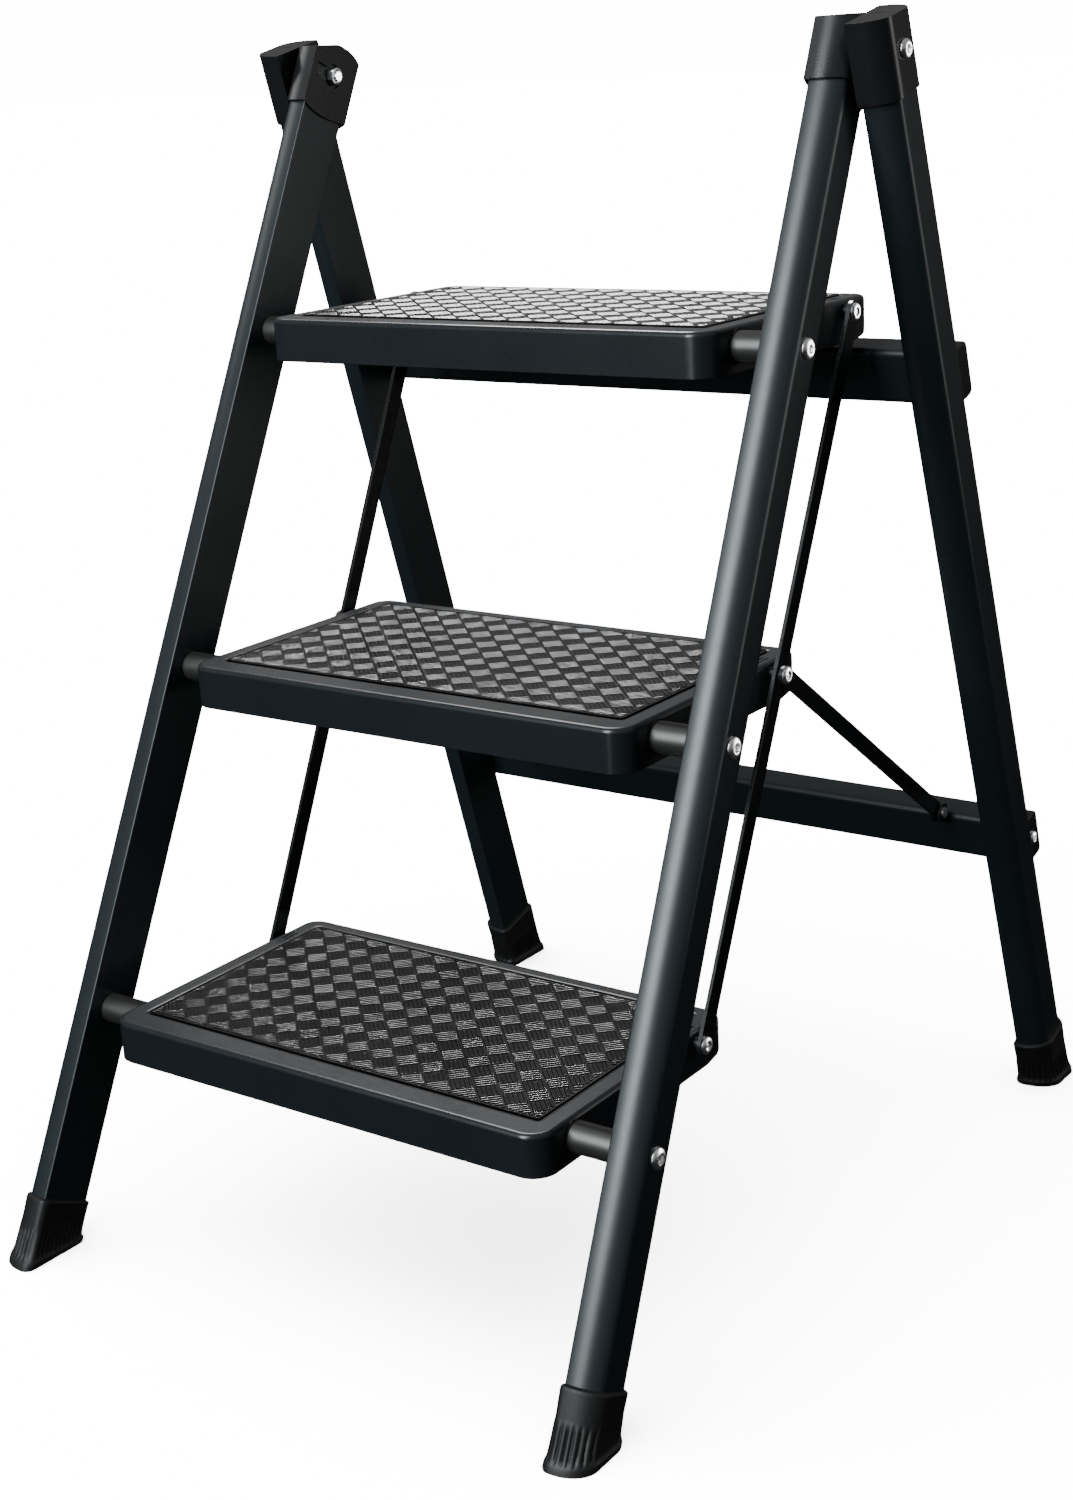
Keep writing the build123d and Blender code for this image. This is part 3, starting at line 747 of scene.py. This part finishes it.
def mat_build():
    """Mat with a raised rim and a basket pattern of ribs laid along both diagonals."""
    b = Build()
    top = TRAY_TOP + 0.05
    low = TRAY_TOP - 1.1
    rings = [mat_ring(0.0, 3.0, low)]
    rim = ((0.0, 3.0, 0.45), (0.35, 2.7, 0.8), (1.0, 2.2, 0.8), (1.4, 1.9, 0.4), (1.6, 1.8, 0.0))
    for shrink, corner, rise in rim:
        rings.append(mat_ring(-shrink, corner, top + rise))
    b.loft(rings)
    u = np.array([1, 1]) / math.sqrt(2)
    v = np.array([-1, 1]) / math.sqrt(2)
    mid = np.array([0.0, (MAT_F + MAT_R) / 2])
    pitch = BLOCK / RIBS
    half = pitch * 0.30
    height = 0.95
    profile = ((1.3, 0.0), (1.05, 0.5), (0.7, 0.82), (0.33, 0.97))
    section = [(-half * a, height * h) for a, h in profile]
    section += [(half * a, height * h) for a, h in reversed(profile)]
    reach = 20
    inset = RIM + 1.3
    for i in range(-reach, reach + 1):
        for j in range(-reach, reach + 1):
            c = mid + u * (i * BLOCK) + v * (j * BLOCK)
            if abs(c[0]) > MAT_X + BLOCK or c[1] < MAT_F - BLOCK or c[1] > MAT_R + BLOCK:
                continue
            along, across = (u, v) if (i + j) % 2 == 0 else (v, u)
            for k in range(RIBS):
                o = c + across * ((k - (RIBS - 1) / 2) * pitch)
                arm = along * (BLOCK / 2 - 0.55)
                seg = clip_line(o - arm, o + arm, MAT_X - inset, MAT_F + inset, MAT_R - inset)
                if seg is None:
                    continue
                p, q = np.array(seg[0]), np.array(seg[1])
                length = np.linalg.norm(q - p)
                if length < 1.2:
                    continue
                stations = [(0.0, 0.0), (0.45, 0.92), (0.9, 1.0),
                            (length - 0.9, 1.0), (length - 0.45, 0.92), (length, 0.0)]
                if length < 2.4:
                    stations = [(0.0, 0.0), (length * 0.35, 0.9), (length * 0.65, 0.9), (length, 0.0)]
                rings = []
                for s, h in stations:
                    base = p + along * s
                    w = 0.75 + 0.25 * h
                    rings.append([(*(base + across * a * w), top + z * h) for a, z in section])
                b.loft(rings, start=False, end=False, closed=False)
    return b


mat = mat_build()
for name, p in STEPS.items():
    finish_object("v_step_mat_" + name, mat.shifted(np.array([0, p[1], p[2]])), "step_mat_" + name, angle=32)

# ---------------------------------------------------------------------------- links, straps, rivets


def capsule(p, q, x0, thick, width, over=0.0):
    """Flat bar in a YZ plane from p to q (y, z) with round ends."""
    p, q = np.array(p, float), np.array(q, float)
    d = (q - p) / np.linalg.norm(q - p)
    n = np.array([-d[1], d[0]])
    r = width / 2
    p = p - d * over
    q = q + d * over
    outline = []
    for a in np.linspace(-math.pi / 2, math.pi / 2, 15):
        outline.append(q + d * r * math.cos(a) + n * r * math.sin(a))
    for a in np.linspace(math.pi / 2, 3 * math.pi / 2, 15):
        outline.append(p + d * r * math.cos(a) + n * r * math.sin(a))
    b = Build()
    chamfer = 0.45
    small = []
    for pt in outline:
        along_d = np.dot(pt - p, d)
        s = np.clip(along_d, 0, np.linalg.norm(q - p))
        axis_pt = p + d * s
        small.append(axis_pt + (pt - axis_pt) * (r - chamfer) / r)
    step = chamfer * 0.6
    b.loft([[(x0, *pt) for pt in small], [(x0 + step, *pt) for pt in outline],
            [(x0 + thick - step, *pt) for pt in outline], [(x0 + thick, *pt) for pt in small]])
    return b


LINK_OFF = np.array([0.0, 150.0, 5.5])
lo, hi = side_extent("link_bar_right")
link_pivot = {n: (STEPS[n] + LINK_OFF)[1:] for n in STEPS}
pair("link_bar", capsule(link_pivot["top"], link_pivot["bottom"], lo, hi - lo, LINK_W, over=0.5), angle=35)
for name, (y, z) in link_pivot.items():
    sleeve = disc(TRAY_X - 3.4, lo - 0.3, y, z, SLEEVE_R)
    finish_object("v_link_sleeves_" + name, sleeve.plus(sleeve.mirrored()), "link_rivets_" + name, angle=40,
                  slot="tray_paint")
    # the strap's rivet covers the middle one
    if name == "middle":
        rivet = disc(lo - 0.5, hi + 0.7, y, z, SHANK_R)
    else:
        rivet = rivet_ring(hi + 0.2, y, z).plus(disc(lo - 0.5, hi + 0.3, y, z, SHANK_R))
    finish_object("v_link_rivets_" + name, rivet.plus(rivet.mirrored()), "link_rivets_" + name, angle=40)

lo, hi = side_extent("diagonal_strap_right")
lower = centre("strap_bracket_pins")[1:]
pair("diagonal_strap", capsule(link_pivot["middle"], lower, lo, hi - lo, STRAP_W), angle=35)
pair("strap_rivet", rivet_ring(hi + 0.05, *link_pivot["middle"]), angle=40)

# ---------------------------------------------------------------------------------------- crossbars
BACK = np.array([math.cos(REAR_LEAN), math.sin(REAR_LEAN)])
UP = np.array([-math.sin(REAR_LEAN), math.cos(REAR_LEAN)])


def bar_ring(mid, x, height, shrink=0.0):
    """Rounded section of a crossbar at x, square to the rear legs."""
    pts = []
    hd, hh, r = BAR_DEPTH / 2 - shrink, height / 2 - shrink, max(BAR_CORNER - shrink, 0.3)
    u0, v0 = hd - r, hh - r
    for cx, cy, a0 in ((u0, v0, 0), (-u0, v0, 90), (-u0, -v0, 180), (u0, -v0, 270)):
        for a in np.linspace(math.radians(a0), math.radians(a0 + 90), 7):
            u, v = cx + r * math.cos(a), cy + r * math.sin(a)
            pts.append((x, *(mid + BACK * u + UP * v)))
    return pts


def crossbar(node, height):
    """Makes the bar and returns the shape of its right-hand end plug."""
    mid = centre(node)[1:]
    half = side_extent(node)[1]
    b = Build()
    b.loft([bar_ring(mid, x, height) for x in np.linspace(-half, half, 16)])
    finish_object("v_" + node, b, node, angle=40)
    plug = Build()
    plug.loft([bar_ring(mid, half + out, height, shrink)
               for out, shrink in ((-0.2, 0.0), (1.2, 0.0), (2.3, 0.5), (3.0, 1.7))])
    return plug


plugs = crossbar("upper_crossbar", UPPER_BAR).plus(crossbar("lower_crossbar", LOWER_BAR))
finish_object("v_crossbar_end_plugs", plugs.plus(plugs.mirrored()), "crossbar_end_plugs", angle=40)
bar_end = side_extent("lower_crossbar")[1] + 2.9
bolt = button(bar_end, *centre("lower_crossbar")[1:], PLUG_BOLT_R, 2.4, 2.6)
finish_object("v_crossbar_bolts", bolt.plus(bolt.mirrored()), "crossbar_bolts", angle=45)

# --------------------------------------------------------------------------------------- the studio
floor_mesh = bpy.data.meshes.new("floor")
size = 60.0
corners = [(-size, -size, 0), (size, -size, 0), (size, size, 0), (-size, size, 0)]
floor_mesh.from_pydata(corners, [], [(0, 1, 2, 3)])
floor = bpy.data.objects.new("floor", floor_mesh)
bpy.context.scene.collection.objects.link(floor)
floor_mat = bpy.data.materials.new("floor_paper")
paper = nodes_of(floor_mat)[0]["Principled BSDF"]
paper.inputs["Base Color"].default_value = (0.92, 0.92, 0.92, 1)
paper.inputs["Roughness"].default_value = 0.9
paper.inputs["Specular IOR Level"].default_value = 0.0
floor_mesh.materials.append(floor_mat)
floor.visible_glossy = False
floor.visible_diffuse = False

# dark grey round the ladder, pure white where the camera sees past it
world = bpy.data.worlds.new("studio")
bpy.context.scene.world = world
world.use_nodes = True
wn, wl = world.node_tree.nodes, world.node_tree.links
back = wn["Background"]
coord = wn.new("ShaderNodeTexCoord")
split = wn.new("ShaderNodeSeparateXYZ")
wl.new(coord.outputs["Generated"], split.inputs[0])
sky = wn.new("ShaderNodeValToRGB")
sky.color_ramp.elements[0].position = 0.42
sky.color_ramp.elements[0].color = (0.012, 0.012, 0.013, 1)
sky.color_ramp.elements[1].position = 1.0
sky.color_ramp.elements[1].color = (0.30, 0.30, 0.30, 1)
mid_stop = sky.color_ramp.elements.new(0.52)
mid_stop.color = (0.16, 0.16, 0.165, 1)
lift = wn.new("ShaderNodeMapRange")
lift.inputs["From Min"].default_value = -1.0
lift.inputs["From Max"].default_value = 1.0
wl.new(split.outputs["Z"], lift.inputs["Value"])
wl.new(lift.outputs["Result"], sky.inputs["Fac"])
path = wn.new("ShaderNodeLightPath")
pick = wn.new("ShaderNodeMix")
pick.data_type = "RGBA"
pick.inputs["B"].default_value = (WHITE, WHITE, WHITE, 1)
wl.new(path.outputs["Is Camera Ray"], pick.inputs["Factor"])
wl.new(sky.outputs["Color"], pick.inputs["A"])
wl.new(pick.outputs["Result"], back.inputs["Color"])
back.inputs["Strength"].default_value = 1.0


def softbox(name, azimuth, elevation, distance, size_x, size_y, power):
    """Rectangular light round the ladder: azimuth 0 is straight in front, 90 to its right."""
    aim = Vector((0, TOP[1] * MM - 0.1, 0.45))
    az, el = math.radians(azimuth), math.radians(elevation)
    toward = Vector((math.sin(az) * math.cos(el), -math.cos(az) * math.cos(el), math.sin(el)))
    where = aim + distance * toward
    data = bpy.data.lights.new(name, "AREA")
    data.shape = "RECTANGLE"
    data.size = size_x
    data.size_y = size_y
    data.energy = power
    obj = bpy.data.objects.new(name, data)
    bpy.context.scene.collection.objects.link(obj)
    obj.location = where
    obj.rotation_euler = (aim - where).to_track_quat("-Z", "Y").to_euler()
    return obj


def lit_only(light, wanted, without=()):
    """Restricts a light to pieces whose names start with a wanted word and with none of the others."""
    group = bpy.data.collections.new(light.name + "_only")
    for obj in bpy.context.scene.objects:
        if obj.type == "MESH" and obj.name.startswith(wanted) and not obj.name.startswith(without):
            group.objects.link(obj)
    light.light_linking.receiver_collection = group


key = softbox("key", -8, 29, 3.2, 1.1, 2.4, 150)
key.data.color = (0.90, 0.97, 1.0)
lit_only(key, "", ("v_step_mat",))
rim = softbox("rim", -84, 34, 3.4, 1.4, 1.4, 13)
lit_only(rim, ("v_front_leg", "v_front_foot", "v_rear_leg", "v_link", "v_diagonal", "v_rear_cap",
               "v_front_cap"))
softbox("side", 124, 6, 4.0, 1.2, 2.4, 22)
softbox("low_front", 2, -2, 3.6, 0.4, 1.6, 7)
for name, wanted, power in (("crown", ("v_step_mat_top", "v_link_bar", "v_diagonal"), 420),
                            ("crown_middle", ("v_step_mat_middle",), 190),
                            ("crown_bottom", ("v_step_mat_bottom",), 170)):
    crown = softbox(name, 216, 50, 3.0, 1.3, 1.1, power)
    crown.data.use_shadow = False
    crown.data.cycles.use_multiple_importance_sampling = name == "crown"
    lit_only(crown, wanted)
glint = softbox("glint", 226, 46, 3.0, 0.8, 0.45, 56)
glint.data.use_shadow = False
lit_only(glint, ("v_step_tray",))
spark = softbox("spark", 146, 4, 2.6, 1.6, 1.6, 70)
spark.data.use_shadow = False
lit_only(spark, ("v_leg_bolts", "v_top_pivot_bolts", "v_link_rivets", "v_strap_rivet", "v_crossbar_bolts"))

sun_data = bpy.data.lights.new("floor_light", "SUN")
sun_data.energy = FLOOR_SUN
sun_data.angle = math.radians(110)
sun = bpy.data.objects.new("floor_light", sun_data)
bpy.context.scene.collection.objects.link(sun)
sun.rotation_euler = (math.radians(12), math.radians(-14), 0)
only_floor = bpy.data.collections.new("floor_only")
only_floor.objects.link(floor)
sun.light_linking.receiver_collection = only_floor

# ------------------------------------------------------------------------------------------- camera
cam_data = bpy.data.cameras.new("camera")
cam = bpy.data.objects.new("camera", cam_data)
bpy.context.scene.collection.objects.link(cam)
bpy.context.scene.camera = cam
cam_data.sensor_width = 36.0
cam_data.sensor_fit = "AUTO"
cam_data.lens = LENS
cam_data.clip_end = 100
yaw, pitch, roll = 0.63639, -0.29916, -0.05372
fwd = Vector((-math.sin(yaw) * math.cos(pitch), math.cos(yaw) * math.cos(pitch), math.sin(pitch)))
right = Vector((math.cos(yaw), math.sin(yaw), 0))
up = right.cross(fwd)
rolled_right = math.cos(roll) * right + math.sin(roll) * up
rolled_up = -math.sin(roll) * right + math.cos(roll) * up
turn = Matrix((rolled_right, rolled_up, -fwd)).transposed()
eye = Vector((0.97636, TOP[1] * MM - 1.39675, TOP[2] * MM + 0.01074))
cam.matrix_world = Matrix.Translation(eye) @ turn.to_4x4()
